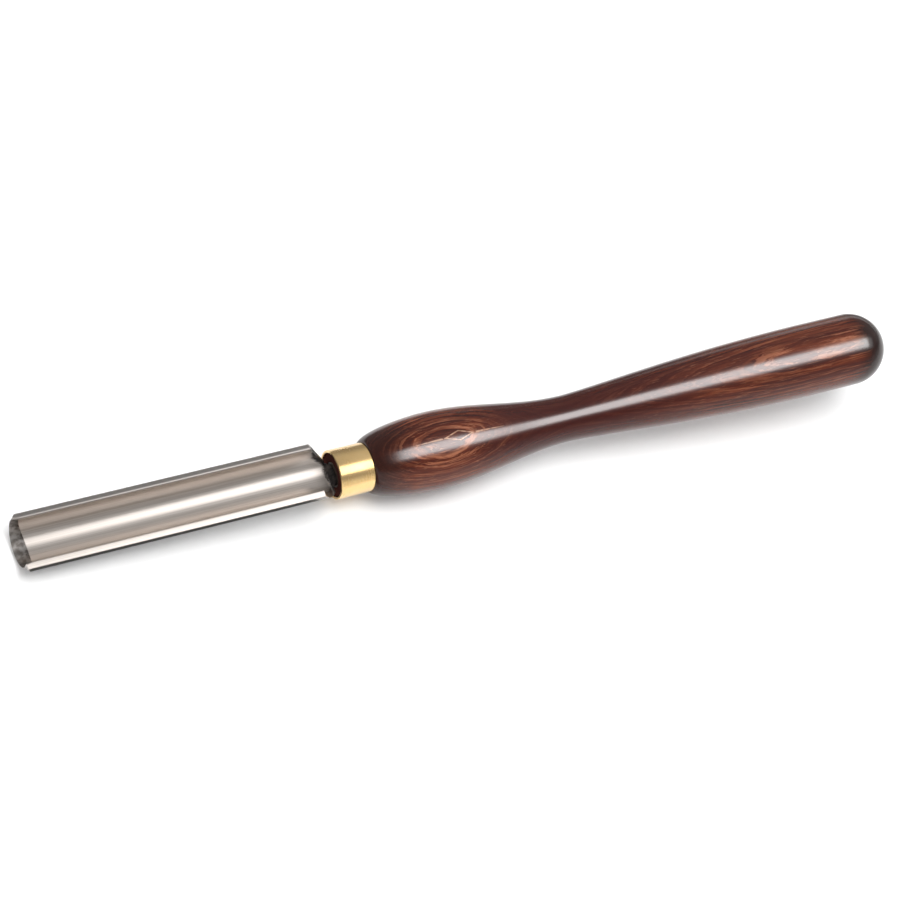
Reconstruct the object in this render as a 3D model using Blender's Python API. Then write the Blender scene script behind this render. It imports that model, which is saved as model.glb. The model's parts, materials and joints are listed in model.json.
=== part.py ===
"""A woodturner's spindle roughing gouge, lying flute up on a bench.

The tool is drawn in its own frame, in millimetres: X runs along the handle's axis from the
cutting end towards the butt, with X = 0 at the front of the ferrule, and Z points out of the
open side of the flute. One empty, which every piece is parented to, then lays the tool down
on its bevel heel and on the handle's bulge, as it lies on a bench, with the origin under the
middle of its bounding box.
"""

import math

import bmesh
import bpy
from mathutils import Matrix, Vector

MM = 0.001
GAP = 0.3  # kept between neighbours that touch on the real tool

# Flute: a deep U of one wall thickness, with its rims ground flat
FLUTE_RADIUS = 12.8
FLUTE_WALL = 2.8
FLUTE_CENTRE_Z = 9.4  # centre of the U's round bottom, above the handle's axis
RIM_Z = 10.6
CUTTING_END_X = -147.0
FLUTE_REAR_X = -0.9
FLUTE_ARC_STEPS = 23  # odd, so that one facet is level at the very bottom

# The walls' rear ends sweep down from the rims to the neck
SWEEP_TOP_X = -9.9
SWEEP_FOOT_X = -1.2
SWEEP_FOOT_Z = -0.2
SWEEP_SAG = 0.7  # how far the sweep's middle is hollowed
SWEEP_STEPS = 5

# Neck and tang: (x, half width, top z, bottom z) of each rounded section
NECK_START = (-10.0, 4.2, -1.1, -2.7)
NECK_WIDEST = (-5.0, 6.6, 0.1, -2.9)
NECK_REAR = (-1.2, 6.2, 2.2, -2.9)
TANG_ROOT = (0.8, 4.8, 2.6, -2.7)
TANG_SHOULDER = (8.0, 4.2, 2.5, -2.5)
TANG_END = (70.0, 2.3, 1.6, -1.6)
TANG_SIDES = 16

# Ferrule: plain brass tube
FERRULE_RADIUS = 11.1
FERRULE_BORE_RADIUS = 10.0
FERRULE_LENGTH = 16.5
FERRULE_EDGE = 0.3

# Handle
SPIGOT_FRONT_X = 0.6
HOLE_RADIUS = 6.0
HOLE_DEPTH_X = 75.0
DRILL_POINT = 3.0
SHOULDER_RADIUS = 11.2
BULGE_X = 49.5
BULGE_RADIUS = 17.7
WAIST_X = 118.0
WAIST_RADIUS = 10.65
GRIP_X = 256.0
GRIP_RADIUS = 17.05
BUTT_X = 290.0
SHOULDER_STEPS = 9
BULGE_STEPS = 11
GRIP_STEPS = 12
BUTT_STEPS = 8

TURNED_SIDES = 40  # facets round every turned piece; one of them is level underneath

STEEL = ("ground_steel", (0.56, 0.55, 0.53), 0.3, 1.0)
BRASS = ("satin_brass", (0.80, 0.62, 0.30), 0.28, 1.0)
WOOD = ("stained_hardwood", (0.12, 0.045, 0.03), 0.25, 0.0)
RESIN = ("dark_resin", (0.05, 0.035, 0.025), 0.4, 0.0)


def clear_scene():
    for obj in list(bpy.data.objects):
        bpy.data.objects.remove(obj, do_unlink=True)


def principled(name, colour, roughness, metallic):
    """One material per piece, from the tuple of its name, colour, roughness and metallic value."""
    material = bpy.data.materials.new(name)
    material.use_nodes = True
    shader = material.node_tree.nodes["Principled BSDF"]
    shader.inputs["Base Color"].default_value = (*colour, 1.0)
    shader.inputs["Roughness"].default_value = roughness
    shader.inputs["Metallic"].default_value = metallic
    material.diffuse_color = (*colour, 1.0)
    return material


def add_object(name, bm, tool, material=None):
    """Turns a bmesh drawn in millimetres into an object of the tool, in metres."""
    bmesh.ops.recalc_face_normals(bm, faces=bm.faces)
    bmesh.ops.scale(bm, vec=Vector((MM, MM, MM)), verts=bm.verts)
    mesh = bpy.data.meshes.new(name)
    bm.to_mesh(mesh)
    bm.free()
    mesh.shade_smooth()
    mesh.set_sharp_from_angle(angle=math.radians(30))
    obj = bpy.data.objects.new(name, mesh)
    bpy.context.scene.collection.objects.link(obj)
    obj.parent = tool
    if material:
        mesh.materials.append(principled(*material))
    return obj


def boolean(target, other, operation):
    """Joins or cuts the target with another object, which stays behind as a hidden guide."""
    other.hide_render = True
    other.display_type = "WIRE"
    modifier = target.modifiers.new(operation.lower() + "_" + other.name, "BOOLEAN")
    modifier.operation = operation
    modifier.object = other
    modifier.solver = "EXACT"


def turned(outline, closed=False):
    """Spins an outline of (x, radius) points round the X axis, with a facet level underneath."""
    bm = bmesh.new()
    half_step = math.pi / TURNED_SIDES
    tilt = Matrix.Rotation(half_step, 3, "X")
    verts = [bm.verts.new(tilt @ Vector((x, 0.0, radius))) for x, radius in outline]
    pairs = list(zip(verts, verts[1:]))
    if closed:
        pairs.append((verts[-1], verts[0]))
    edges = [bm.edges.new(pair) for pair in pairs]
    bmesh.ops.spin(
        bm,
        geom=verts + edges,
        cent=(0, 0, 0),
        axis=(1, 0, 0),
        angle=math.tau,
        steps=TURNED_SIDES,
        use_merge=True,
    )
    bmesh.ops.remove_doubles(bm, verts=bm.verts, dist=0.001)
    return bm


def lofted(rings):
    """Closed body through rings of equal point counts, with a flat face at each end."""
    bm = bmesh.new()
    loops = [[bm.verts.new(point) for point in ring] for ring in rings]
    for low, high in zip(loops, loops[1:]):
        for i in range(len(low)):
            j = (i + 1) % len(low)
            bm.faces.new((low[i], low[j], high[j], high[i]))
    bm.faces.new(loops[0])
    bm.faces.new(loops[-1])
    return bm


def u_line(radius):
    """(y, z) points of one side of the U's wall, from rim to rim round the bottom."""
    points = [(radius, RIM_Z)]
    for i in range(FLUTE_ARC_STEPS + 1):
        angle = math.pi * i / FLUTE_ARC_STEPS
        y = radius * math.cos(angle)
        z = FLUTE_CENTRE_Z - radius * math.sin(angle)
        points.append((y, z))
    points.append((-radius, RIM_Z))
    return points


def flute():
    """The U, with the bevel at its cutting end: the outside starts one wall further back."""
    outer = u_line(FLUTE_RADIUS)
    inner = u_line(FLUTE_RADIUS - FLUTE_WALL)
    bm = bmesh.new()
    bevel_heel_x = CUTTING_END_X + FLUTE_WALL
    lines = []
    for line, x in ((outer, bevel_heel_x), (inner, CUTTING_END_X)):
        lines.append([bm.verts.new((x, y, z)) for y, z in line])
    for line in (outer, inner):
        lines.append([bm.verts.new((FLUTE_REAR_X, y, z)) for y, z in line])
    outer_front, inner_front, outer_rear, inner_rear = lines
    last = len(outer) - 1
    for i in range(last):
        j = i + 1
        bm.faces.new((outer_front[i], outer_front[j], outer_rear[j], outer_rear[i]))
        bm.faces.new((inner_front[i], inner_rear[i], inner_rear[j], inner_front[j]))
        bm.faces.new((outer_front[i], inner_front[i], inner_front[j], outer_front[j]))
        bm.faces.new((outer_rear[i], outer_rear[j], inner_rear[j], inner_rear[i]))
    for i in (0, last):
        bm.faces.new((outer_front[i], outer_rear[i], inner_rear[i], inner_front[i]))
    return bm


def sweep_cutter():
    """A prism across the tool, whose lower front face is the hollow sweep of the wall ends."""
    foot = Vector((SWEEP_FOOT_X, SWEEP_FOOT_Z))
    top = Vector((SWEEP_TOP_X, RIM_Z))
    along = top - foot
    hollow = Vector((-along.y, along.x)).normalized() * SWEEP_SAG
    if hollow.x > 0:
        hollow = -hollow
    outline = []
    for i in range(SWEEP_STEPS + 1):
        t = i / SWEEP_STEPS
        outline.append(foot + along * t + hollow * math.sin(math.pi * t))
    clear = 6.0
    outline.append(Vector((SWEEP_TOP_X, RIM_Z + clear)))
    outline.append(Vector((clear, RIM_Z + clear)))
    outline.append(Vector((clear, SWEEP_FOOT_Z)))
    side = FLUTE_RADIUS + clear
    return lofted([[(p.x, y, p.y) for p in outline] for y in (-side, side)])


def rounded_section(x, half_width, top, bottom, grow=0.0):
    """Points of a flattened round section of the neck or tang, optionally grown all round."""
    middle = (top + bottom) / 2
    half_height = (top - bottom) / 2 + grow
    half_width = half_width + grow
    fullness = 0.75  # below 1 the section is fuller than an ellipse
    points = []
    for i in range(TANG_SIDES):
        angle = math.tau * (i + 0.5) / TANG_SIDES
        c = math.cos(angle)
        s = math.sin(angle)
        y = half_width * math.copysign(abs(c) ** fullness, c)
        z = middle + half_height * math.copysign(abs(s) ** fullness, s)
        points.append((x, y, z))
    return points


def neck_and_tang():
    stations = (NECK_START, NECK_WIDEST, NECK_REAR, TANG_ROOT, TANG_SHOULDER, TANG_END)
    return lofted([rounded_section(*station) for station in stations])


def tang_clearance():
    """The tang's shape, grown by the gap and run out of the front, to cut the resin with."""
    front = (SPIGOT_FRONT_X - 2.0, *TANG_ROOT[1:])
    end = (TANG_END[0] + GAP, *TANG_END[1:])
    stations = (front, TANG_ROOT, TANG_SHOULDER, end)
    return lofted([rounded_section(*station, grow=GAP) for station in stations])


def ferrule_outline():
    edge = FERRULE_EDGE
    rear = FERRULE_LENGTH
    return [
        (0.0, FERRULE_BORE_RADIUS),
        (0.0, FERRULE_RADIUS - edge),
        (edge, FERRULE_RADIUS),
        (rear - edge, FERRULE_RADIUS),
        (rear, FERRULE_RADIUS - edge),
        (rear, FERRULE_BORE_RADIUS),
    ]


def ease(t):
    """Smooth rise from 0 to 1, level at both ends."""
    return (1 - math.cos(math.pi * t)) / 2


def shoulder_radius(t):
    """Steep behind the ferrule, then easing up onto the bulge."""
    rise = (1 - (1 - t) ** 1.7) ** 0.55
    return SHOULDER_RADIUS + (BULGE_RADIUS - SHOULDER_RADIUS) * rise


def waist_radius(t):
    return BULGE_RADIUS + (WAIST_RADIUS - BULGE_RADIUS) * ease(t)


def grip_radius(t):
    """Swells soon after the waist, then slowly to its fullest."""
    return WAIST_RADIUS + (GRIP_RADIUS - WAIST_RADIUS) * ease(t**0.66)


def stretch(start_x, end_x, radius_at, steps):
    """Points of one stretch of the turned outline, without its first one."""
    points = []
    for i in range(1, steps + 1):
        t = i / steps
        points.append((start_x + (end_x - start_x) * t, radius_at(t)))
    return points


def handle_outline():
    """From the drill point, out of the hole, over the spigot and along the handle to the butt."""
    shoulder_x = FERRULE_LENGTH + GAP
    spigot_radius = FERRULE_BORE_RADIUS - GAP
    outline = [
        (HOLE_DEPTH_X + DRILL_POINT, 0.0),
        (HOLE_DEPTH_X, HOLE_RADIUS),
        (SPIGOT_FRONT_X, HOLE_RADIUS),
        (SPIGOT_FRONT_X, spigot_radius),
        (shoulder_x, spigot_radius),
        (shoulder_x, SHOULDER_RADIUS),
    ]
    outline += stretch(shoulder_x, BULGE_X, shoulder_radius, SHOULDER_STEPS)
    outline += stretch(BULGE_X, WAIST_X, waist_radius, BULGE_STEPS)
    outline += stretch(WAIST_X, GRIP_X, grip_radius, GRIP_STEPS)
    butt_centre_x = BUTT_X - GRIP_RADIUS
    for i in range(BUTT_STEPS):
        angle = math.pi / 2 * i / BUTT_STEPS
        x = butt_centre_x + GRIP_RADIUS * math.sin(angle)
        outline.append((x, GRIP_RADIUS * math.cos(angle)))
    outline.append((BUTT_X, 0.0))
    return outline


def make_blade(tool):
    blade = add_object("gouge_blade", flute(), tool, STEEL)
    boolean(blade, add_object("sweep_cutter", sweep_cutter(), tool), "DIFFERENCE")
    boolean(blade, add_object("neck_guide", neck_and_tang(), tool), "UNION")
    return blade


def make_ferrule(tool):
    return add_object("ferrule", turned(ferrule_outline(), closed=True), tool, BRASS)


def make_handle(tool):
    return add_object("handle", turned(handle_outline()), tool, WOOD)


def make_adhesive(tool):
    """The resin sleeve that fills the drilled hole round the tang."""
    radius = HOLE_RADIUS - GAP
    end_x = HOLE_DEPTH_X - GAP
    start_x = SPIGOT_FRONT_X + GAP
    outline = [(start_x, 0.0), (start_x, radius), (end_x, radius), (end_x, 0.0)]
    sleeve = add_object("tang_adhesive", turned(outline), tool, RESIN)
    boolean(sleeve, add_object("tang_cutter", tang_clearance(), tool), "DIFFERENCE")
    return sleeve


def corners_of(objects):
    """Every corner of the objects' finished meshes, in the tool's frame."""
    graph = bpy.context.evaluated_depsgraph_get()
    corners = []
    for obj in objects:
        corners += [vertex.co.copy() for vertex in obj.evaluated_get(graph).data.vertices]
    return corners


def lay_down(tool, blade, handle, pieces):
    """Tips the tool until the bevel heel and the bulge both touch the bench at Z = 0."""
    heel_x = (CUTTING_END_X + FLUTE_WALL) * MM
    heel_band = 0.01 * MM
    heel = min((c for c in corners_of([blade]) if abs(c.x - heel_x) < heel_band), key=lambda c: c.z)
    pitch = max(
        math.atan2(heel.z - c.z, c.x - heel.x) for c in corners_of([handle]) if c.x > 0
    )
    turn = Matrix.Rotation(-pitch, 4, "Y")
    placed = [turn @ corner for corner in corners_of(pieces)]
    middle_x = (min(c.x for c in placed) + max(c.x for c in placed)) / 2
    tool.rotation_euler = (0.0, -pitch, 0.0)
    tool.location = (-middle_x, 0.0, -min(c.z for c in placed))


def main():
    clear_scene()
    tool = bpy.data.objects.new("tool", None)
    bpy.context.scene.collection.objects.link(tool)
    blade = make_blade(tool)
    handle = make_handle(tool)
    pieces = [blade, make_ferrule(tool), handle, make_adhesive(tool)]
    lay_down(tool, blade, handle, pieces)


main()
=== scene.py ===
import json
import math

import bmesh
import bpy
from mathutils import Matrix, Vector


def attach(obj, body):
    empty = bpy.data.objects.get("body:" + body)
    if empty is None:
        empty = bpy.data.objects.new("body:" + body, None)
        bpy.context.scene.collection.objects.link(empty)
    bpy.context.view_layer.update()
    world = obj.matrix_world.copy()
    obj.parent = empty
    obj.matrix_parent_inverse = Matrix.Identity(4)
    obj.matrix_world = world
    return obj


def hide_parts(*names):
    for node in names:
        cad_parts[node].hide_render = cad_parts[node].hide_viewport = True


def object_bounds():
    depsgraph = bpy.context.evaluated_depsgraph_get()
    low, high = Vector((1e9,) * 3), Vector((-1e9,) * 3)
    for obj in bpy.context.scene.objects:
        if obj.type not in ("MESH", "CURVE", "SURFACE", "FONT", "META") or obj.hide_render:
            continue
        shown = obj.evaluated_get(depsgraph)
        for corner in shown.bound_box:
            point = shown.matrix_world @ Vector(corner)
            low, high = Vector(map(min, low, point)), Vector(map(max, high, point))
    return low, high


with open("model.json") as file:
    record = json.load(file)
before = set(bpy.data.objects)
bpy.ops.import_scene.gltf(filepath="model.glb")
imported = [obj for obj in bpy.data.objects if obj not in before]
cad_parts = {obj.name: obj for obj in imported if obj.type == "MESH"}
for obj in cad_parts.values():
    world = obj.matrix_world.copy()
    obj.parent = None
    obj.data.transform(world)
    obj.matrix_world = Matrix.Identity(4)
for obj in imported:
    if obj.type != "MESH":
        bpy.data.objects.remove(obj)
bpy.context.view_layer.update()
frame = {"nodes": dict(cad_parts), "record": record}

MM = 0.001  # metres

# The tool's own frame, as in the CAD: X along the handle's axis from the cutting end to the
# butt, X = 0 at the front of the ferrule, Z out of the open side of the flute, millimetres.
RIM_MOUNT = (-78.0, -11.4, 10.6)  # the near_rim mount's point in that frame

# Flute
FLUTE_RADIUS = 12.8
FLUTE_WALL = 2.8
FLUTE_CENTRE_Z = 9.4
RIM_Z = 10.6
CUTTING_END_X = -147.0
FLUTE_REAR_X = -0.9
SWEEP_TOP_X = (-10.3, -9.2)  # where the near and the far rim end
SWEEP_FOOT_X = -1.2
SWEEP_FOOT_Z = -0.2
SWEEP_SAG = 0.7
RIM_FALL = 0.6  # how far each rim falls from its inner to its outer edge, about RIM_Z
RIM_ROUNDS = (0.45, 1.25)  # inner rounding of the near and the far rim
HONED_FLOOR = 6.0  # length of the honed zone inside the edge, at the flute's bottom
HONED_WALL = 3.4  # and at the rims
HONED_DEPTH = 0.42

# Neck and tang: (x, half width, top z, bottom z) of each rounded section
NECK_SECTIONS = (
    (-7.0, 3.6, -1.3, -2.7),
    (-4.6, 5.6, -1.0, -2.85),
    (-3.2, 6.3, -0.5, -2.9),
    (-2.0, 6.4, 0.9, -2.9),
    (-0.8, 6.0, 2.2, -2.8),
    (0.4, 5.0, 2.6, -2.7),
    (1.6, 4.6, 2.6, -2.6),
    (8.0, 4.2, 2.5, -2.5),
    (70.0, 2.3, 1.6, -1.6),
)

# Ferrule
FERRULE_RADIUS = 11.1
FERRULE_BORE_RADIUS = 10.0
FERRULE_LENGTH = 16.5
FERRULE_EDGE = 0.3
BORE_EDGE = 0.2
LIP_STEPS = 6

# Handle
SPIGOT_FRONT_X = 0.6
SPIGOT_GAP = 0.05
SPIGOT_EDGE = 0.4
HOLE_RADIUS = 6.0
HOLE_DEPTH_X = 75.0
DRILL_POINT = 3.0
SHOULDER_RADIUS = 11.2
BULGE_X = 49.5
BULGE_RADIUS = 17.68
WAIST_X = 118.0
WAIST_RADIUS = 10.65
GRIP_X = 256.0
GRIP_RADIUS = 17.03
BUTT_X = 290.0
SHOULDER_STEPS = 24
BODY_RINGS = 120
BUTT_STEPS = 28

TURNED_SIDES = 160
SHARP_ANGLE = math.radians(30.0)  # edges that turn by more than this stay crisp

# Wood figure, in millimetres: the growth rings' centre line lies beyond the axis, away from the
# figured side
PITH_DEPTH = 45.0
PITH_TURN = (math.radians(-12.0), math.radians(0.1), 0.0)
RING_SPACING = 1.5
RING_PHASE = 0.08
RING_WANDER = 1.3  # how far the rings stray, slowly along the handle
RING_TEAR = 0.5  # and quickly
RING_SHARE = 0.12  # what the rings, the streaks and the fine rings add to the wood's tone
STREAK_SHARE = 0.5
FINE_RING_SHARE = 0.38
FINE_RING_CELLS = (30.0, 2300.0, 110.0)  # to the metre: along, outwards and round the pith
CROWN_ABOVE = 0.9  # height of the figure's crown over the bulge, as the rings' wander adds some
CROWN_FADE = (3.0, 1.0)  # depths below the crown between which the ring lines fade in

# Forging scale, in metres
SCALE_RISE = (0.004, 0.0095)  # distances to the far side between which it reaches further forward
SCALE_CLIMB = 0.0052  # how much further
SCALE_RAGGED = 0.0016  # how far its border strays in patches
SCALE_WHISKERS = 0.0022  # and in thin lines
SCALE_BORDER = (-0.0036, -0.0016)  # from clean steel to full scale

# Zones along the handle, in metres behind the ferrule's front: where each look fades in or out
FRONT_STAIN = (0.020, 0.040)
WAIST_STAIN_IN = (0.060, 0.095)
WAIST_STAIN_OUT = (0.115, 0.225)
BUTT_STAIN = (0.263, 0.278)
LACQUER_START = (0.012, 0.014)
STAIN_DRIFT = 0.03  # how far the stain's borders wander

# Ornament on the bulge: its middle, its turn from upright, and its lines in millimetres
ORNAMENT_X = 57.0
ORNAMENT_TURN = math.radians(8.0)
LOZENGE = (7.0, 2.2)  # half length, half width
LOZENGE_LINE = (0.09, 0.17)  # half width of its solid line and to its soft edge, shares of size
RULE = (8.5, 24.0, 0.45)  # start and end from the middle, half thickness at the start
RULE_START_SOFT = 0.2
RULE_SOFT = 0.08

# Colours, linear
STEEL_WORN = (0.56, 0.50, 0.455)
STEEL_CLEAN = (0.64, 0.58, 0.535)
STEEL_BRIGHT = (0.72, 0.665, 0.62)
# Painted dark reflection on the flute's outside and the far rim's top, standing in for the shaded
# floor and the darker far side
STEEL_PAINTED_DARK_REFLECTION = (0.30, 0.28, 0.27)
# Painted dark and light reflection patches over the honed zone
HONED_PAINTED_DARK = (0.20, 0.18, 0.165)
HONED_PAINTED_LIGHT = (0.60, 0.57, 0.55)
# Painted shade along the crease at the back of the honed zone
CREASE_PAINTED_SHADE = (0.085, 0.068, 0.058)
SCALE_DARK = (0.012, 0.010, 0.009)
SCALE_LIGHT = (0.075, 0.06, 0.052)
BRASS_PALE = (0.93, 0.65, 0.30)
BRASS_DEEP = (0.90, 0.605, 0.255)
WOOD_TONES = (
    (0.32, (0.024, 0.0034, 0.0020)),
    (0.46, (0.058, 0.0075, 0.0020)),
    (0.57, (0.118, 0.0225, 0.0065)),
    (0.70, (0.225, 0.0650, 0.0270)),
)
FIBRE_TONE = (0.022, 0.004, 0.0025)
RING_TONE = (0.36, 0.14, 0.075)
THREAD_TONE = (0.34, 0.12, 0.06)
WAIST_TONE = (0.034, 0.0028, 0.0015)
BUTT_TONE = (0.011, 0.0030, 0.0022)
FRONT_TONE = (0.022, 0.0065, 0.0048)
SAWN_TONE = (0.055, 0.018, 0.014)
ORNAMENT_TONE = (0.44, 0.24, 0.15)
RESIN_DARK = (0.03, 0.019, 0.014)
RESIN_LIGHT = (0.065, 0.045, 0.032)


# ---------------------------------------------------------------- places and meshes


def tool_frame():
    """The matrix from the tool's frame, in metres, to the row's, read from the rim mount."""
    mounts = {mount["name"]: mount for mount in frame["record"]["mounts"]}
    up = Vector(mounts["near_rim"]["axis"]).normalized()
    across = Vector((0.0, 1.0, 0.0))
    along = across.cross(up)
    turn = Matrix((along, across, up)).transposed()
    origin = Vector(mounts["near_rim"]["pos_m"]) - turn @ (Vector(RIM_MOUNT) * MM)
    return Matrix.Translation(origin) @ turn.to_4x4()


TOOL = tool_frame()


def add_piece(name, bm, material, node=None):
    """An object for a mesh drawn in millimetres in the tool's frame, riding on the row's body."""
    bmesh.ops.recalc_face_normals(bm, faces=bm.faces)
    bmesh.ops.transform(bm, matrix=TOOL @ Matrix.Scale(MM, 4), verts=bm.verts)
    mesh = bpy.data.meshes.new(name)
    bm.to_mesh(mesh)
    bm.free()
    mesh.shade_smooth()
    mesh.set_sharp_from_angle(angle=SHARP_ANGLE)
    mesh.materials.append(material)
    piece = bpy.data.objects.new(name, mesh)
    bpy.context.scene.collection.objects.link(piece)
    if node:
        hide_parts(node)
        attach(piece, "root")
    return piece


def turned(outline, closed=False):
    """Spins (x, radius) points round the X axis; a radius of 0 makes a single pole."""
    bm = bmesh.new()
    rings = []
    for x, radius in outline:
        if radius == 0.0:
            rings.append([bm.verts.new((x, 0.0, 0.0))])
            continue
        ring = []
        for i in range(TURNED_SIDES):
            angle = math.tau * (i + 0.5) / TURNED_SIDES
            ring.append(bm.verts.new((x, radius * math.sin(angle), -radius * math.cos(angle))))
        rings.append(ring)
    pairs = list(zip(rings, rings[1:]))
    if closed:
        pairs.append((rings[-1], rings[0]))
    for low, high in pairs:
        for i in range(TURNED_SIDES):
            j = (i + 1) % TURNED_SIDES
            corners = [low[i % len(low)], low[j % len(low)]]
            corners += [high[j % len(high)], high[i % len(high)]]
            bm.faces.new(list(dict.fromkeys(corners)))  # three corners where a pole closes it
    return bm


def lofted(rings):
    """Closed body through rings of equal point counts, with a flat face at each end."""
    bm = bmesh.new()
    loops = [[bm.verts.new(point) for point in ring] for ring in rings]
    for low, high in zip(loops, loops[1:]):
        for i in range(len(low)):
            j = (i + 1) % len(low)
            bm.faces.new((low[i], low[j], high[j], high[i]))
    bm.faces.new(loops[0])
    bm.faces.new(loops[-1])
    return bm


def ease(t):
    """Smooth rise from 0 to 1, level at both ends."""
    return (1 - math.cos(math.pi * t)) / 2


def mix(a, b, t):
    return a + (b - a) * t


# ---------------------------------------------------------------- material nodes


class Nodes:
    """Short calls for building one material's node tree."""

    def __init__(self, name):
        self.material = bpy.data.materials.new(name)
        self.material.use_nodes = True
        self.tree = self.material.node_tree
        self.shader = self.tree.nodes["Principled BSDF"]
        self.tool_place = None

    def add(self, kind, inputs=None, **settings):
        node = self.tree.nodes.new(kind)
        for key, value in settings.items():
            setattr(node, key, value)
        for key, value in (inputs or {}).items():
            self.feed(node.inputs[key], value)
        return node

    def feed(self, socket, value):
        if isinstance(value, bpy.types.NodeSocket):
            self.tree.links.new(value, socket)
        else:
            socket.default_value = value

    def set(self, **values):
        for key, value in values.items():
            self.feed(self.shader.inputs[key.replace("_", " ")], value)

    def math(self, operation, a, b=None):
        node = self.add("ShaderNodeMath", operation=operation)
        for socket, value in zip(node.inputs, (a, b)):
            if value is not None:
                self.feed(socket, value)
        return node.outputs[0]

    def times(self, a, b):
        return self.math("MULTIPLY", a, b)

    def plus(self, a, b):
        return self.math("ADD", a, b)

    def minus(self, a, b):
        return self.math("SUBTRACT", a, b)

    def place(self, scale=(1.0, 1.0, 1.0), turn=(0.0, 0.0, 0.0), shift=(0.0, 0.0, 0.0)):
        """The point's place in the tool's frame, in metres, scaled, turned and shifted."""
        if self.tool_place is None:
            inputs = {
                "Vector": self.add("ShaderNodeTexCoord").outputs["Object"],
                "Location": TOOL.translation,
                "Rotation": TOOL.to_euler(),
            }
            mapping = self.add("ShaderNodeMapping", inputs, vector_type="TEXTURE")
            self.tool_place = mapping.outputs[0]
        inputs = {"Vector": self.tool_place, "Scale": scale, "Rotation": turn, "Location": shift}
        return self.add("ShaderNodeMapping", inputs).outputs[0]

    def noise(self, vector, detail, roughness=0.5):
        inputs = {"Vector": vector, "Scale": 1.0, "Detail": detail, "Roughness": roughness}
        return self.add("ShaderNodeTexNoise", inputs).outputs["Fac"]

    def grain(self, along, across, detail, roughness=0.5):
        """Noise with so many cells to the metre along the tool and across it."""
        return self.noise(self.place(scale=(along, across, across)), detail, roughness)

    def remap(self, value, low, high, to_low=0.0, to_high=1.0, smooth=True):
        inputs = {
            "Value": value,
            "From Min": low,
            "From Max": high,
            "To Min": to_low,
            "To Max": to_high,
        }
        kind = "SMOOTHSTEP" if smooth else "LINEAR"
        return self.add("ShaderNodeMapRange", inputs, interpolation_type=kind).outputs[0]

    def ramp(self, value, stops):
        node = self.add("ShaderNodeValToRGB", {"Fac": value})
        elements = node.color_ramp.elements
        while len(elements) < len(stops):
            elements.new(0.5)
        for element, (position, colour) in zip(elements, stops):
            element.position = position
            element.color = (*colour, 1.0)
        return node.outputs["Color"]

    def blend(self, factor, a, b):
        node = self.add("ShaderNodeMix", data_type="RGBA")
        self.feed(node.inputs["Factor"], factor)
        for socket, value in ((node.inputs[6], a), (node.inputs[7], b)):
            self.feed(socket, (*value, 1.0) if isinstance(value, tuple) else value)
        return node.outputs[2]

    def bump(self, height, distance, strength=1.0, normal=None):
        inputs = {"Height": height, "Distance": distance, "Strength": strength}
        if normal is not None:
            inputs["Normal"] = normal
        return self.add("ShaderNodeBump", inputs).outputs[0]

    def axis(self, vector, letter):
        return self.add("ShaderNodeSeparateXYZ", {0: vector}).outputs[letter]

    def attribute(self, name):
        return self.add("ShaderNodeAttribute", attribute_name=name).outputs["Fac"]


def steel_material():
    """Ground bright steel: lengthwise grinding lines, a honed zone with painted dark and light
    reflection patches and painted shade along its crease, a painted dark reflection on the outside
    and the far rim, and dark forging scale.
    """
    n = Nodes("blade_steel")
    lines = n.grain(7.0, 1500.0, detail=4.0, roughness=0.6)
    fine = n.grain(30.0, 5200.0, detail=2.0)
    cloud = n.grain(28.0, 90.0, detail=3.0)
    honed = n.attribute("honed")
    neck = n.attribute("neck")

    worn = n.blend(cloud, STEEL_WORN, STEEL_CLEAN)
    bright = n.blend(n.remap(lines, 0.35, 0.65), worn, STEEL_BRIGHT)
    # Painted dark reflection: the outside and the far rim's top are darkened
    bright = n.blend(n.attribute("painted_dark_reflection"), bright, STEEL_PAINTED_DARK_REFLECTION)
    # The honed zone gets painted dark and light reflection patches
    mottle = n.grain(260.0, 300.0, detail=3.0)
    honed_painted_reflection = n.blend(n.remap(mottle, 0.35, 0.62), HONED_PAINTED_DARK, HONED_PAINTED_LIGHT)
    edge = n.blend(n.times(honed, 0.85), bright, honed_painted_reflection)
    # Painted shade along the crease at the back of the honed zone
    crease = n.times(n.attribute("crease"), n.remap(mottle, 0.3, 0.6, 0.95, 0.55))
    edge = n.blend(crease, edge, CREASE_PAINTED_SHADE)

    # Scale left by the forge covers the neck and runs up the far wall's rear corner
    place = n.place()
    far_wall = n.remap(n.axis(place, "Y"), *SCALE_RISE, 0.0, SCALE_CLIMB)
    ragged = n.grain(160.0, 420.0, detail=4.0, roughness=0.7)
    whiskers = n.grain(60.0, 1500.0, detail=2.0)
    reach = n.plus(n.axis(place, "X"), far_wall)
    for noise, size in ((ragged, SCALE_RAGGED), (whiskers, SCALE_WHISKERS)):
        reach = n.plus(reach, n.times(n.minus(noise, 0.5), size))
    scale_mask = n.math("MAXIMUM", n.remap(reach, *SCALE_BORDER), neck)
    scale_tone = n.blend(n.remap(ragged, 0.4, 0.7), SCALE_DARK, SCALE_LIGHT)
    n.set(Base_Color=n.blend(scale_mask, edge, scale_tone))
    n.set(Metallic=n.remap(scale_mask, 0.0, 1.0, 1.0, 0.3, smooth=False))

    rough = n.remap(lines, 0.3, 0.7, 0.31, 0.39)
    n.set(Roughness=n.plus(rough, n.times(scale_mask, 0.2)))

    grooves = n.plus(n.times(lines, 0.7), n.times(fine, 0.3))
    ground = n.bump(grooves, 0.000006, 0.7)
    n.set(Normal=n.bump(n.times(ragged, scale_mask), 0.0004, 0.8, ground))
    return n.material


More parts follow.
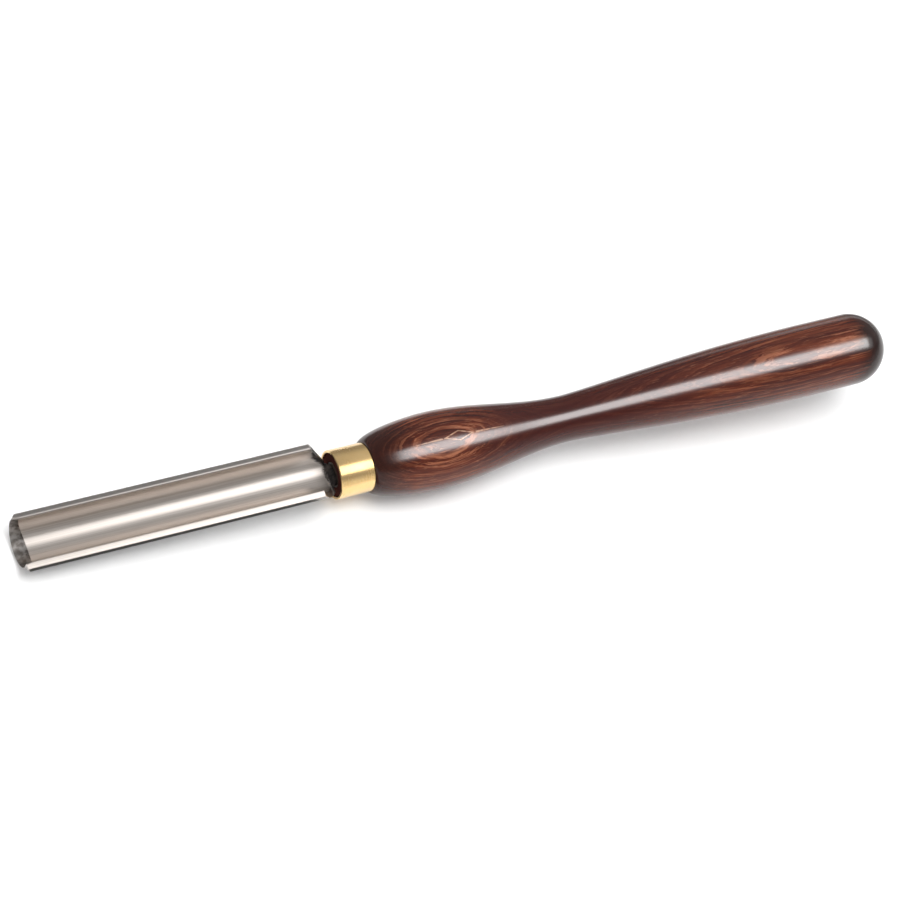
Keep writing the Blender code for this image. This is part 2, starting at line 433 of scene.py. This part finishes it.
def brass_material():
    """Turned and buffed brass: fine rings round the tube and a faint warm bloom."""
    n = Nodes("ferrule_brass")
    rings = n.grain(2600.0, 25.0, detail=3.0)
    bloom = n.grain(120.0, 160.0, detail=4.0, roughness=0.6)
    tone = n.blend(n.remap(bloom, 0.35, 0.7), BRASS_PALE, BRASS_DEEP)
    n.set(Base_Color=tone, Metallic=1.0)
    rough = n.remap(bloom, 0.3, 0.7, 0.22, 0.26)
    n.set(Roughness=n.plus(rough, n.remap(rings, 0.3, 0.7, 0.0, 0.03)))
    n.set(Coat_Weight=0.4, Coat_Roughness=0.2, Coat_IOR=1.5)
    n.set(Normal=n.bump(rings, 0.000002, 0.3))
    return n.material


def wood_material():
    """Close-grained hardwood under dark red-brown stain and clear gloss lacquer."""
    n = Nodes("handle_wood")
    x = n.axis(n.place(), "X")

    # Growth rings round a pith line far below the handle
    wander = n.grain(13.0, 80.0, detail=3.0)
    pith = n.place(turn=PITH_TURN, shift=(0.0, 0.0, PITH_DEPTH * MM))
    pith_y = n.axis(pith, "Y")
    pith_z = n.axis(pith, "Z")
    squares = n.times(pith_y, pith_y)
    squares = n.plus(squares, n.times(pith_z, pith_z))
    radius = n.plus(n.math("SQRT", squares), n.times(wander, RING_WANDER * MM))
    tear = n.grain(90.0, 520.0, detail=3.0, roughness=0.6)
    radius = n.plus(radius, n.times(tear, RING_TEAR * MM))
    turns = n.plus(n.times(radius, 1 / (RING_SPACING * MM)), RING_PHASE)
    ring = n.math("FRACT", turns)
    late_line = n.times(n.remap(ring, 0.66, 0.90), n.remap(ring, 0.92, 1.0, 1.0, 0.0))
    # Only the rings nearest the crown of the bulge show as lines
    apex = PITH_DEPTH + BULGE_RADIUS + CROWN_ABOVE
    crown = n.remap(radius, *[(apex - depth) * MM for depth in CROWN_FADE])
    late_line = n.times(late_line, n.remap(crown, 0.0, 1.0, 0.12, 1.0))

    # Fine lines that keep to the rings, and the fibres and pores along the handle
    cells = zip("XYZ", (x, radius, pith_y), FINE_RING_CELLS)
    ring_cells = {letter: n.times(place, scale) for letter, place, scale in cells}
    along_ring = n.add("ShaderNodeCombineXYZ", ring_cells).outputs[0]
    fine_rings = n.noise(along_ring, detail=4.0, roughness=0.65)
    fibre = n.grain(26.0, 1300.0, detail=5.0, roughness=0.65)
    pores = n.grain(85.0, 2600.0, detail=2.0)
    streak = n.grain(9.0, 170.0, detail=5.0, roughness=0.62)
    tone = n.times(ring, RING_SHARE)
    tone = n.plus(tone, n.times(streak, STREAK_SHARE))
    tone = n.plus(tone, n.times(fine_rings, FINE_RING_SHARE))
    colour = n.ramp(tone, WOOD_TONES)
    colour = n.blend(n.remap(fibre, 0.40, 0.7, 0.0, 0.6), colour, FIBRE_TONE)
    line_strength = n.times(late_line, n.remap(fine_rings, 0.42, 0.62, 0.1, 0.75))
    colour = n.blend(line_strength, colour, RING_TONE)
    thread_strength = n.remap(crown, 0.0, 1.0, 0.2, 0.7)
    threads = n.times(n.remap(fine_rings, 0.54, 0.64), thread_strength)
    colour = n.blend(threads, colour, THREAD_TONE)
    light_pores = n.times(n.remap(pores, 0.6, 0.74), 0.45)
    colour = n.blend(light_pores, colour, RING_TONE)

    # The stain is darkest behind the ferrule, along the waist and over the butt
    blotch = n.grain(22.0, 45.0, detail=2.0)
    drift = n.times(n.minus(blotch, 0.5), STAIN_DRIFT)
    stain_x = n.plus(x, drift)
    front = n.remap(stain_x, *FRONT_STAIN, 1.0, 0.0)
    waist_start = n.remap(stain_x, *WAIST_STAIN_IN)
    waist = n.times(waist_start, n.remap(stain_x, *WAIST_STAIN_OUT, 1.0, 0.0))
    butt = n.remap(stain_x, *BUTT_STAIN, 0.0, 0.95)
    colour = n.blend(n.times(waist, 0.86), colour, WAIST_TONE)
    colour = n.blend(butt, colour, BUTT_TONE)
    colour = n.blend(n.times(front, 0.9), colour, FRONT_TONE)
    colour = n.blend(ornament(n), colour, ORNAMENT_TONE)

    # No lacquer on the sawn end inside the ferrule
    lacquer = n.remap(x, *LACQUER_START)
    n.set(Base_Color=n.blend(lacquer, SAWN_TONE, colour))
    n.set(Roughness=n.remap(fibre, 0.3, 0.7, 0.5, 0.65))
    n.set(Specular_IOR_Level=0.0)
    n.set(Coat_Weight=lacquer, Coat_Roughness=0.2, Coat_IOR=1.4)
    n.set(Normal=n.bump(fibre, 0.00002, 0.5))
    film = n.grain(30.0, 300.0, detail=4.0)
    n.set(Coat_Normal=n.bump(film, 0.00004, 0.5))
    return n.material


def ornament(n):
    """A slim burnt-in lozenge between two tapering rules, along the bulge: 1 on the lines."""
    place = n.place()
    minus_y = n.times(n.axis(place, "Y"), -1.0)
    turn = n.minus(n.math("ARCTAN2", minus_y, n.axis(place, "Z")), ORNAMENT_TURN)
    aside = n.math("ABSOLUTE", n.times(turn, BULGE_RADIUS))
    from_centre = n.minus(n.axis(place, "X"), ORNAMENT_X * MM)
    along = n.math("ABSOLUTE", n.times(from_centre, 1 / MM))
    half_length, half_width = LOZENGE
    slope = n.math("DIVIDE", along, half_length)
    slope = n.plus(slope, n.math("DIVIDE", aside, half_width))
    off_line = n.math("ABSOLUTE", n.minus(slope, 1.0))
    lozenge = n.remap(off_line, *LOZENGE_LINE, 1.0, 0.0)
    start, end, half_thickness = RULE
    taper = n.remap(along, start, end, half_thickness, 0.0, smooth=False)
    on_rule = n.times(n.remap(along, start - RULE_START_SOFT, start), n.remap(taper, 0.0, 0.02))
    thickness = n.minus(taper, aside)
    rule = n.times(n.remap(thickness, -RULE_SOFT, RULE_SOFT), on_rule)
    worn = n.remap(n.grain(500.0, 900.0, detail=3.0), 0.3, 0.55, 0.35, 0.9)
    return n.times(n.math("MAXIMUM", lozenge, rule), worn)


def resin_material():
    """Set adhesive, darkened by stain."""
    n = Nodes("set_resin")
    cloud = n.grain(300.0, 300.0, detail=4.0)
    n.set(Base_Color=n.blend(cloud, RESIN_DARK, RESIN_LIGHT))
    n.set(Roughness=n.remap(cloud, 0.3, 0.7, 0.4, 0.6))
    n.set(Normal=n.bump(cloud, 0.0002, 0.4))
    return n.material


# ---------------------------------------------------------------- the blade

ARC_STEPS = 36  # from the lowest point of the section up to the rim, on each side
ROUND_STEPS = 4
HONED_SHARES = (0.0, 0.3, 0.6, 0.85, 0.96, 1.0)  # stations along the honed zone
BLEND_SHARES = (0.015, 0.05, 0.12, 0.25, 0.45, 0.7, 1.0)  # and behind it
BODY_STEPS = 60
SWEEP_STEPS = 30
LEVEL_X = CUTTING_END_X + 14.0  # from here back, the stations stand square to the flute
OUTSIDE_LEAD = 5.0  # length of the outside, behind the bevel, that pairs with the honed zone
# The darkening along the crease is painted shade
CREASE_SHADE_START = 0.35  # share of the honed zone at which the crease begins to darken
OUTER_ROUND = 0.25
# Share of the painted dark reflection on the far rim's top
FAR_RIM_PAINTED_DARK_REFLECTION = 0.75
RIM_CORNER = (0.2, 0.85)  # share of the bevel's length at the top of the near and far walls
RIM_CORNER_STEPS = 10  # steps down the outside in which the bevel gains its full length
RUN_OUT_X = -8.5  # where the flute's grinding starts to run out before the neck
RUN_OUT_RISE = 0.5
SWEEP_ROUND = 0.15
NECK_SIDES = 48
NECK_FULLNESS = 0.75  # 1 is an ellipse, less is squarer
NECK_STEPS = 5


def sweep_height(x, top_x):
    """Height of the wall's top at x: the rim, then the hollow sweep down to the neck."""
    if x <= top_x:
        return RIM_Z
    t = min((x - top_x) / (SWEEP_FOOT_X - top_x), 1.0)
    return mix(RIM_Z, SWEEP_FOOT_Z, t) - SWEEP_SAG * math.sin(math.pi * t)


def wall_points(radius, top_z):
    """(y, z) points up one side of a U of this radius, from its lowest point to top_z."""
    straight = max(top_z - FLUTE_CENTRE_Z, 0.0)
    arc = math.acos(min(max(FLUTE_CENTRE_Z - top_z, 0.0) / radius, 1.0))
    length = radius * arc + straight
    points = []
    for i in range(ARC_STEPS + 1):
        travelled = length * i / ARC_STEPS
        angle = min(travelled / radius, arc)
        rise = travelled - radius * angle
        points.append((radius * math.sin(angle), FLUTE_CENTRE_Z - radius * math.cos(angle) + rise))
    return points


def round_corner(corner, before, after, radius):
    """Points round a corner, leaving the line from before and joining the line to after."""
    corner = Vector(corner)
    leave = corner + (Vector(before) - corner).normalized() * radius
    join = corner + (Vector(after) - corner).normalized() * radius
    points = []
    for i in range(ROUND_STEPS + 1):
        t = i / ROUND_STEPS
        points.append(leave * (1 - t) ** 2 + corner * 2 * t * (1 - t) + join * t**2)
    return [tuple(point) for point in points]


def half_section(top, flare, rim_round):
    """(y, z) points of one side's section: up the outside, over the rim and down the inside."""
    inner_radius = FLUTE_RADIUS - FLUTE_WALL
    level = min(max((top - FLUTE_CENTRE_Z) / (RIM_Z - FLUTE_CENTRE_Z), 0.0), 1.0)
    half_fall = RIM_FALL / 2 * level
    outer_round = mix(SWEEP_ROUND, OUTER_ROUND, level)
    inner_round = mix(SWEEP_ROUND, rim_round, level)
    outer = wall_points(FLUTE_RADIUS, top - half_fall - outer_round)
    inner = wall_points(inner_radius + flare, top + half_fall - inner_round)
    outer_corner = wall_points(FLUTE_RADIUS, top - half_fall)[-1]
    inner_corner = wall_points(inner_radius + flare, top + half_fall)[-1]
    over = round_corner(outer_corner, outer[-1], inner_corner, outer_round)
    back = round_corner(inner_corner, outer_corner, inner[-1], inner_round)
    return outer[:-1] + over + back + inner[:-1][::-1]


def honed_length(share):
    """How far the honed zone runs back from the edge: longest on the floor of the flute."""
    return mix(HONED_WALL, HONED_FLOOR, math.cos(share * math.pi / 2) ** 1.5)


def stations():
    """(outside x, floor x, rim x, flare, honed, painted crease shade) of each ring of the flute.
    """
    bevel_x = CUTTING_END_X + FLUTE_WALL
    crease = [CUTTING_END_X + HONED_FLOOR, CUTTING_END_X + HONED_WALL]
    made = []
    for t in HONED_SHARES:
        inside = [mix(CUTTING_END_X, x, t) for x in crease]
        crease_shade = max(t - CREASE_SHADE_START, 0.0) / (1 - CREASE_SHADE_START)
        outside_x = mix(bevel_x, bevel_x + OUTSIDE_LEAD, t)
        made.append((outside_x, *inside, HONED_DEPTH * (1 - t), 1.0, crease_shade))
    for t in BLEND_SHARES:
        inside = [mix(x, LEVEL_X, t) for x in crease]
        made.append((mix(bevel_x + OUTSIDE_LEAD, LEVEL_X, t), *inside, 0.0, 0.0, 0.0))
    for i in range(1, BODY_STEPS + 1):
        x = mix(LEVEL_X, SWEEP_TOP_X[0], i / BODY_STEPS)
        made.append((x, x, x, 0.0, 0.0, 0.0))
    for i in range(1, SWEEP_STEPS + 1):
        x = mix(SWEEP_TOP_X[0], SWEEP_FOOT_X, i / SWEEP_STEPS)
        run_out = max((x - RUN_OUT_X) / (FLUTE_REAR_X - RUN_OUT_X), 0.0) ** 2
        made.append((x, x, x, -RUN_OUT_RISE * run_out, 0.0, 0.0))
    made.append((FLUTE_REAR_X, FLUTE_REAR_X, FLUTE_REAR_X, -RUN_OUT_RISE, 0.0, 0.0))
    return made


def flute_mesh():
    """The flute with its bevel, rims and swept rear, as a skin of U-shaped rings."""
    bm = bmesh.new()
    honed_layer = bm.verts.layers.float.new("honed")
    neck_layer = bm.verts.layers.float.new("neck")
    dark_reflection_layer = bm.verts.layers.float.new("painted_dark_reflection")
    crease_shade_layer = bm.verts.layers.float.new("crease")
    inner_radius = FLUTE_RADIUS - FLUTE_WALL
    rings = []
    for outside_x, floor_x, rim_x, flare, honed, crease in stations():
        sides = {}
        for side, top_x, rim_round, corner in zip((-1, 1), SWEEP_TOP_X, RIM_ROUNDS, RIM_CORNER):
            top_outside_x = mix(rim_x, outside_x, corner)
            section = half_section(sweep_height(outside_x, top_x), flare, rim_round)
            last = len(section) - 1
            ring = []
            for k, (y, z) in enumerate(section):
                if side == 1 and k in (0, last):
                    ring.append(sides[-1][k])
                    continue
                on_inside = k >= last - ARC_STEPS
                if on_inside:
                    share = (last - k) / ARC_STEPS
                    reach = (honed_length(share) - HONED_WALL) / (HONED_FLOOR - HONED_WALL)
                    x = mix(rim_x, floor_x, reach)
                elif k <= ARC_STEPS:
                    below_top = min((ARC_STEPS - k) / RIM_CORNER_STEPS, 1.0)
                    x = mix(top_outside_x, outside_x, below_top)
                else:
                    across = min(max((y - inner_radius) / FLUTE_WALL, 0.0), 1.0)
                    x = mix(rim_x, top_outside_x, across)
                vert = bm.verts.new((x, side * y, z))
                vert[honed_layer] = honed if on_inside else 0.0
                vert[neck_layer] = 0.0
                # Painted shade along the crease
                vert[crease_shade_layer] = crease if on_inside else 0.0
                # Painted dark reflection: full on the outside, partly on the far rim's top
                if k <= ARC_STEPS:
                    vert[dark_reflection_layer] = 1.0
                elif side == 1 and not on_inside:
                    vert[dark_reflection_layer] = FAR_RIM_PAINTED_DARK_REFLECTION
                else:
                    vert[dark_reflection_layer] = 0.0
                ring.append(vert)
            sides[side] = ring
        rings.append(sides)
    for low, high in zip(rings, rings[1:]):
        for side in (1, -1):
            for k in range(len(low[side]) - 1):
                corners = (low[side][k], low[side][k + 1], high[side][k + 1], high[side][k])
                bm.faces.new(corners)
    for sides in (rings[0], rings[-1]):
        for ring in sides.values():
            last = len(ring) - 1
            for k in range(ARC_STEPS):
                bm.faces.new((ring[k], ring[k + 1], ring[last - k - 1], ring[last - k]))
            bm.faces.new(ring[ARC_STEPS : last - ARC_STEPS + 1])
    return bm


def rounded_section(x, half_width, top, bottom):
    """Points round a section of the neck, a rounded oblong."""
    middle = (top + bottom) / 2
    half_height = (top - bottom) / 2
    points = []
    for i in range(NECK_SIDES):
        angle = math.tau * (i + 0.5) / NECK_SIDES
        c = math.cos(angle)
        s = math.sin(angle)
        y = half_width * math.copysign(abs(c) ** NECK_FULLNESS, c)
        z = middle + half_height * math.copysign(abs(s) ** NECK_FULLNESS, s)
        points.append((x, y, z))
    return points


def neck_mesh():
    """The forged neck that rises out of the flute's floor, and the tang behind it."""
    sections = []
    last = len(NECK_SECTIONS) - 1
    for i in range(last):
        picks = [NECK_SECTIONS[min(max(k, 0), last)] for k in (i - 1, i, i + 1, i + 2)]
        for j in range(NECK_STEPS):
            t = j / NECK_STEPS
            sections.append([catmull(*values, t) for values in zip(*picks)])
    sections.append(NECK_SECTIONS[-1])
    bm = lofted([rounded_section(*section) for section in sections])
    neck = bm.verts.layers.float.new("neck")
    for vert in bm.verts:
        vert[neck] = 1.0
    return bm


def catmull(a, b, c, d, t):
    """Smooth curve through b (t = 0) and c (t = 1)."""
    square = (2 * a - 5 * b + 4 * c - d) * t**2
    cube = (3 * b - a - 3 * c + d) * t**3
    return 0.5 * (2 * b + (c - a) * t + square + cube)


def union(target, other):
    """Joins two closed meshes into one and removes the second object."""
    modifier = target.modifiers.new("union", "BOOLEAN")
    modifier.operation = "UNION"
    modifier.object = other
    modifier.solver = "EXACT"
    graph = bpy.context.evaluated_depsgraph_get()
    joined = bpy.data.meshes.new_from_object(target.evaluated_get(graph))
    target.modifiers.clear()
    target.data = joined
    bpy.data.objects.remove(other)
    joined.shade_smooth()
    joined.set_sharp_from_angle(angle=SHARP_ANGLE)


def make_blade():
    steel = steel_material()
    blade = add_piece("blade", flute_mesh(), steel, "gouge_blade")
    union(blade, add_piece("neck", neck_mesh(), steel))


# ---------------------------------------------------------------- ferrule and handle


def make_ferrule():
    edge = FERRULE_EDGE
    outline = []
    corners = (
        (edge, FERRULE_RADIUS - edge, 180, 90),
        (FERRULE_LENGTH - edge, FERRULE_RADIUS - edge, 90, 0),
    )
    for x, radius, start, end in corners:
        for i in range(LIP_STEPS + 1):
            angle = math.radians(mix(start, end, i / LIP_STEPS))
            outline.append((x + edge * math.cos(angle), radius + edge * math.sin(angle)))
    outline.append((FERRULE_LENGTH, FERRULE_BORE_RADIUS))
    outline.append((BORE_EDGE, FERRULE_BORE_RADIUS))
    outline.append((0.0, FERRULE_BORE_RADIUS + BORE_EDGE))
    tube = turned(outline, closed=True)
    add_piece("brass_ferrule", tube, brass_material(), "ferrule")


def handle_radius(x):
    """The handle's radius at x, from the shoulder over the bulge and the waist to the grip."""
    shoulder_x = FERRULE_LENGTH + SPIGOT_GAP
    if x < BULGE_X:
        t = (x - shoulder_x) / (BULGE_X - shoulder_x)
        rise = (1 - (1 - t) ** 1.7) ** 0.55
        return mix(SHOULDER_RADIUS, BULGE_RADIUS, rise)
    if x < WAIST_X:
        return mix(BULGE_RADIUS, WAIST_RADIUS, ease((x - BULGE_X) / (WAIST_X - BULGE_X)))
    t = (x - WAIST_X) / (GRIP_X - WAIST_X)
    return mix(WAIST_RADIUS, GRIP_RADIUS, ease(min(t, 1.0) ** 0.66))


def make_handle():
    shoulder_x = FERRULE_LENGTH + SPIGOT_GAP
    spigot_radius = FERRULE_BORE_RADIUS - SPIGOT_GAP
    outline = [
        (HOLE_DEPTH_X + DRILL_POINT, 0.0),
        (HOLE_DEPTH_X, HOLE_RADIUS),
        (SPIGOT_FRONT_X, HOLE_RADIUS),
        (SPIGOT_FRONT_X, spigot_radius - SPIGOT_EDGE),
        (SPIGOT_FRONT_X + SPIGOT_EDGE, spigot_radius),
        (shoulder_x, spigot_radius),
    ]
    for i in range(SHOULDER_STEPS + 1):
        x = mix(shoulder_x, BULGE_X, (i / SHOULDER_STEPS) ** 2)
        outline.append((x, handle_radius(x)))
    butt_centre_x = BUTT_X - GRIP_RADIUS
    for i in range(1, BODY_RINGS):
        x = mix(BULGE_X, butt_centre_x, i / BODY_RINGS)
        outline.append((x, handle_radius(x)))
    for i in range(BUTT_STEPS):
        angle = math.pi / 2 * i / BUTT_STEPS
        x = butt_centre_x + GRIP_RADIUS * math.sin(angle)
        outline.append((x, GRIP_RADIUS * math.cos(angle)))
    outline.append((BUTT_X, 0.0))
    body = turned(outline)
    add_piece("turned_handle", body, wood_material(), "handle")


def dress_adhesive():
    resin = frame["nodes"]["tang_adhesive"]
    resin.data.materials.clear()
    resin.data.materials.append(resin_material())


# ---------------------------------------------------------------- stage

CAMERA_PLACE = Vector((-0.62025, -0.41847, 1.08846))
CAMERA_AIM = Vector((-0.01380, -0.00234, 0.02))
CAMERA_ROLL = math.radians(38.19)
CAMERA_LENS = 116.0

# Softboxes over the tool, seen only in reflections: start and end along it, radiance, distance
# and spread in degrees. The one for the lacquer hangs nearer, or the other would hide it.
STRIP = (0.0, 1.9, 2.5, 1.3, 36.0)
LACQUER_STRIP = (-0.1, 1.08, 16.0, 1.25, 27.0)
STRIP_LEAN = math.radians(13.0)  # towards the near side
# Tent brightness by angle, in reflections: 0 is overhead, 90 the near side, -90 the far side
TENT_REAR = (
    (-105, 0.15),
    (-80, 0.32),
    (-55, 0.56),
    (-22, 0.60),
    (0, 0.5),
    (36, 0.3),
    (54, 0.35),
    (75, 0.85),
)
TENT_FRONT = ((-100, 0.35), (-60, 0.3), (-10, 0.2), (40, 0.15), (54, 0.2), (66, 1.0))
TENT_CHANGE = (0.02, 0.27)  # the direction's X between which the front becomes the rear
BACKDROP = 0.92  # what the camera sees beyond the floor
FLOOR_HALF_SIDE = 6.0
FLOOR_WHITE = 0.93
# Cards seen only in reflections, beyond the tool and on the floor under the blade
FAR_CARD = (-0.6, 0.9, 0.07, 0.03)  # start and end along the tool, distance, height
FAR_CARD_LEVEL = 0.3
FLOOR_CARD = (-0.2145, -0.075, -0.075, 0.0)  # start and end along the tool, near and far edge
FLOOR_CARD_LIFT = 0.0005
FLOOR_CARD_LEVEL = 0.12
# Light that reflections don't show: name, strength, spread, lean towards the near side, degrees
SUNS = (("overhead", 2.0, 34.0, 3.0), ("dome", 1.5, 180.0, 0.0))


def make_floor():
    bm = bmesh.new()
    bmesh.ops.create_grid(bm, x_segments=2, y_segments=2, size=FLOOR_HALF_SIDE)
    mesh = bpy.data.meshes.new("floor")
    bm.to_mesh(mesh)
    bm.free()
    n = Nodes("floor_white")
    n.set(Base_Color=(*[FLOOR_WHITE] * 3, 1.0), Roughness=0.9, Specular_IOR_Level=0.1)
    mesh.materials.append(n.material)
    floor = bpy.data.objects.new("floor", mesh)
    floor.location.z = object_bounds()[0].z
    bpy.context.scene.collection.objects.link(floor)


def softbox(name, start_x, end_x, radiance, distance, spread):
    """A long box over the tool that only shows as a reflection, from start_x to end_x metres."""
    light = bpy.data.lights.new(name, "AREA")
    light.shape = "RECTANGLE"
    light.size = end_x - start_x
    light.size_y = 2 * distance * math.tan(math.radians(spread) / 2)
    light.energy = radiance * math.pi * light.size * light.size_y
    obj = bpy.data.objects.new(name, light)
    turn = Matrix.Rotation(STRIP_LEAN, 4, "X")
    away = turn @ Vector((0.0, 0.0, distance))
    obj.matrix_world = Matrix.Translation(Vector(((start_x + end_x) / 2, 0.0, 0.0)) + away) @ turn
    obj.visible_diffuse = False
    bpy.context.scene.collection.objects.link(obj)
    return obj


def make_world():
    """A light tent: its brightness changes with the angle round the tool's length."""
    world = bpy.data.worlds.new("tent")
    bpy.context.scene.world = world
    world.use_nodes = True
    tree = world.node_tree

    def add(kind, **settings):
        node = tree.nodes.new(kind)
        for key, value in settings.items():
            setattr(node, key, value)
        return node

    coordinates = add("ShaderNodeTexCoord")
    split = add("ShaderNodeSeparateXYZ")
    tree.links.new(coordinates.outputs["Generated"], split.inputs[0])
    flip = add("ShaderNodeMath", operation="MULTIPLY")
    flip.inputs[1].default_value = -1.0
    tree.links.new(split.outputs["Y"], flip.inputs[0])
    angle = add("ShaderNodeMath", operation="ARCTAN2")
    tree.links.new(flip.outputs[0], angle.inputs[0])
    tree.links.new(split.outputs["Z"], angle.inputs[1])
    turn = add("ShaderNodeMapRange")
    turn.inputs["From Min"].default_value = -math.pi
    turn.inputs["From Max"].default_value = math.pi
    tree.links.new(angle.outputs[0], turn.inputs["Value"])
    ends = add("ShaderNodeMix", data_type="RGBA")
    for socket, levels in ((ends.inputs[6], TENT_FRONT), (ends.inputs[7], TENT_REAR)):
        ramp = add("ShaderNodeValToRGB")
        tree.links.new(turn.outputs[0], ramp.inputs["Fac"])
        elements = ramp.color_ramp.elements
        while len(elements) < len(levels):
            elements.new(0.5)
        for element, (degrees, level) in zip(elements, levels):
            element.position = (degrees + 180) / 360
            element.color = (level, level, level, 1.0)
        tree.links.new(ramp.outputs["Color"], socket)
    share = add("ShaderNodeMapRange")
    share.inputs["From Min"].default_value, share.inputs["From Max"].default_value = TENT_CHANGE
    tree.links.new(split.outputs["X"], share.inputs["Value"])
    tree.links.new(share.outputs[0], ends.inputs["Factor"])
    # Only reflections and light see the tent: the backdrop is plain
    plain = add("ShaderNodeMix", data_type="RGBA")
    plain.inputs[7].default_value = (BACKDROP, BACKDROP, BACKDROP, 1.0)
    tree.links.new(add("ShaderNodeLightPath").outputs["Is Camera Ray"], plain.inputs["Factor"])
    tree.links.new(ends.outputs[2], plain.inputs[6])
    tree.links.new(plain.outputs[2], tree.nodes["Background"].inputs["Color"])


def make_lights():
    softbox("strip", *STRIP)
    lacquer_strip = softbox("lacquer_strip", *LACQUER_STRIP)
    receivers = bpy.data.collections.new("lacquered")
    receivers.objects.link(bpy.data.objects["turned_handle"])
    lacquer_strip.light_linking.receiver_collection = receivers
    for name, strength, spread, lean in SUNS:
        sun = bpy.data.lights.new(name, "SUN")
        sun.energy = strength
        sun.angle = math.radians(spread)
        obj = bpy.data.objects.new(name, sun)
        obj.rotation_euler.x = math.radians(lean)
        obj.visible_glossy = False
        bpy.context.scene.collection.objects.link(obj)


def make_card(name, corners, level):
    """A card seen only in reflections, which keeps one side of the tool dark."""
    bm = bmesh.new()
    bm.faces.new([bm.verts.new(corner) for corner in corners])
    mesh = bpy.data.meshes.new(name)
    bm.to_mesh(mesh)
    bm.free()
    n = Nodes(name)
    n.set(Base_Color=(0.0, 0.0, 0.0, 1.0), Roughness=1.0, Specular_IOR_Level=0.0)
    n.set(Emission_Color=(level, level, level, 1.0), Emission_Strength=1.0)
    mesh.materials.append(n.material)
    card = bpy.data.objects.new(name, mesh)
    card.visible_camera = False
    card.visible_diffuse = False
    card.visible_shadow = False
    bpy.context.scene.collection.objects.link(card)


def make_cards():
    low = FLOOR_CARD_LIFT
    start, end, near, far = FLOOR_CARD
    corners = [(start, near, low), (end, near, low), (end, far, low), (start, far, low)]
    make_card("floor_card", corners, FLOOR_CARD_LEVEL)
    start, end, side, top = FAR_CARD
    corners = [(start, side, 0.0), (end, side, 0.0), (end, side, top), (start, side, top)]
    make_card("far_card", corners, FAR_CARD_LEVEL)


def make_camera():
    camera = bpy.data.cameras.new("camera")
    camera.lens = CAMERA_LENS
    camera.sensor_width = 36.0
    obj = bpy.data.objects.new("camera", camera)
    turn = (CAMERA_AIM - CAMERA_PLACE).to_track_quat("-Z", "Y").to_matrix().to_4x4()
    roll = Matrix.Rotation(CAMERA_ROLL, 4, "Z")
    obj.matrix_world = Matrix.Translation(CAMERA_PLACE) @ turn @ roll
    bpy.context.scene.collection.objects.link(obj)
    bpy.context.scene.camera = obj


make_blade()
make_ferrule()
make_handle()
dress_adhesive()
make_floor()
make_cards()
make_world()
make_lights()
make_camera()
bpy.context.scene.view_settings.view_transform = "Standard"

bpy.context.view_layer.update()
